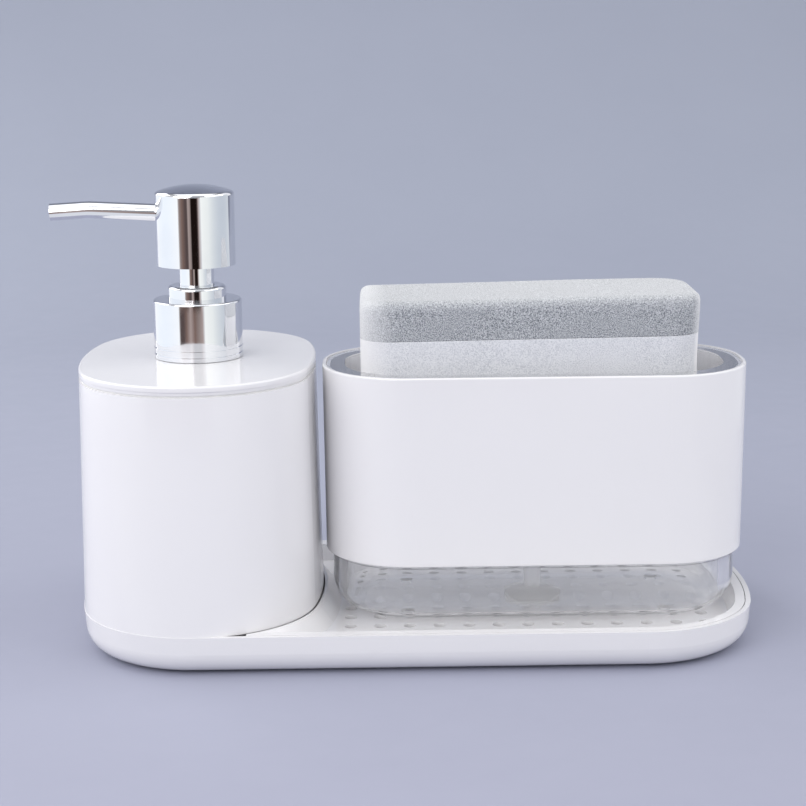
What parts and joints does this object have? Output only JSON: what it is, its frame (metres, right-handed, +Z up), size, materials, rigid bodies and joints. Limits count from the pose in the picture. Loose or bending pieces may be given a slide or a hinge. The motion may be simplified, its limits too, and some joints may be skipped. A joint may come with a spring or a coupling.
{
  "type": "soap pump caddy",
  "caption": "Bathroom caddy with an oval pump soap bottle and a clear sponge cup in a white sleeve, both standing on a long drip tray with a perforated drain plate.",
  "frame": {"origin": "under the middle of the whole outline, spout included, on the table", "axes": "+X along the tray from the bottle to the sponge cup, +Y to the back, +Z up"},
  "size_m": [0.2524, 0.1198, 0.1641],
  "materials": {
    "white_gloss": "polished white moulding",
    "foot_rubber": "soft grey pad",
    "seal_silicone": "milky silicone",
    "pump_chrome": "bright chrome plating",
    "works_plastic": "natural moulding",
    "spring_steel": "drawn wire",
    "clear_acrylic": "clear polished plastic",
    "foam_white": "fine open-cell foam",
    "foam_grey": "coarse scrubbing layer"
  },
  "bodies": {
    "tray": {"base_tray": "white_gloss", "rubber_feet": "foot_rubber"},
    "drain_plate": {"drain_plate": "white_gloss"},
    "cup": {"sponge_cup": "clear_acrylic", "cup_sleeve": "white_gloss"},
    "riser": {"sponge_riser": "clear_acrylic"},
    "sponge": {"sponge_foam": "foam_white", "sponge_scrub": "foam_grey"},
    "bottle": {"soap_bottle": "white_gloss"},
    "lid": {"bottle_lid": "white_gloss", "lid_seal": "seal_silicone"},
    "pump": {"pump_housing": "works_plastic", "housing_washer": "seal_silicone", "ball_cage": "works_plastic", "valve_ball": "spring_steel", "dip_tube": "works_plastic", "collar_ring": "pump_chrome", "return_spring": "spring_steel"},
    "collar": {"pump_collar": "pump_chrome"},
    "plunger": {"piston_rod": "works_plastic", "piston": "works_plastic"},
    "head": {"pump_head": "pump_chrome", "head_core": "works_plastic", "spout": "pump_chrome", "pump_stem": "pump_chrome"}
  },
  "joints": [
    {"name": "plate_lift", "type": "slide", "parent": "tray", "child": "drain_plate", "axis": [0, 0, 1], "range_m": [0, 0.03]},
    {"name": "cup_lift", "type": "slide", "parent": "drain_plate", "child": "cup", "axis": [0, 0, 1], "range_m": [0, 0.05]},
    {"name": "riser_lift", "type": "slide", "parent": "cup", "child": "riser", "axis": [0, 0, 1], "range_m": [0, 0.1]},
    {"name": "sponge_lift", "type": "slide", "parent": "riser", "child": "sponge", "axis": [0, 0, 1], "range_m": [0, 0.06]},
    {"name": "bottle_lift", "type": "slide", "parent": "tray", "child": "bottle", "axis": [0, 0, 1], "range_m": [0, 0.05]},
    {"name": "lid_lift", "type": "slide", "parent": "bottle", "child": "lid", "axis": [0, 0, 1], "range_m": [0, 0.1]},
    {"name": "pump_rise", "type": "slide", "parent": "lid", "child": "pump", "axis": [0, 0, 1], "range_m": [0, 0.0063]},
    {"name": "collar_turn", "type": "hinge", "parent": "pump", "child": "collar", "pos_m": [-0.07451, 0, 0.13], "axis": [0, 0, 1], "range_deg": [0, 540]},
    {"name": "pump_press", "type": "slide", "parent": "pump", "child": "plunger", "axis": [0, 0, -1], "range_m": [0, 0.012], "stiffness_N_per_m": 500, "springref_m": -0.006, "deforming": ["return_spring"]},
    {"name": "head_swivel", "type": "hinge", "parent": "plunger", "child": "head", "pos_m": [-0.07451, 0, 0.13], "axis": [0, 0, 1], "continuous": true}
  ],
  "couplings": [
    {"joint": "pump_rise", "follows": "collar_turn", "m_per_rad": 0.00066845}
  ]
}
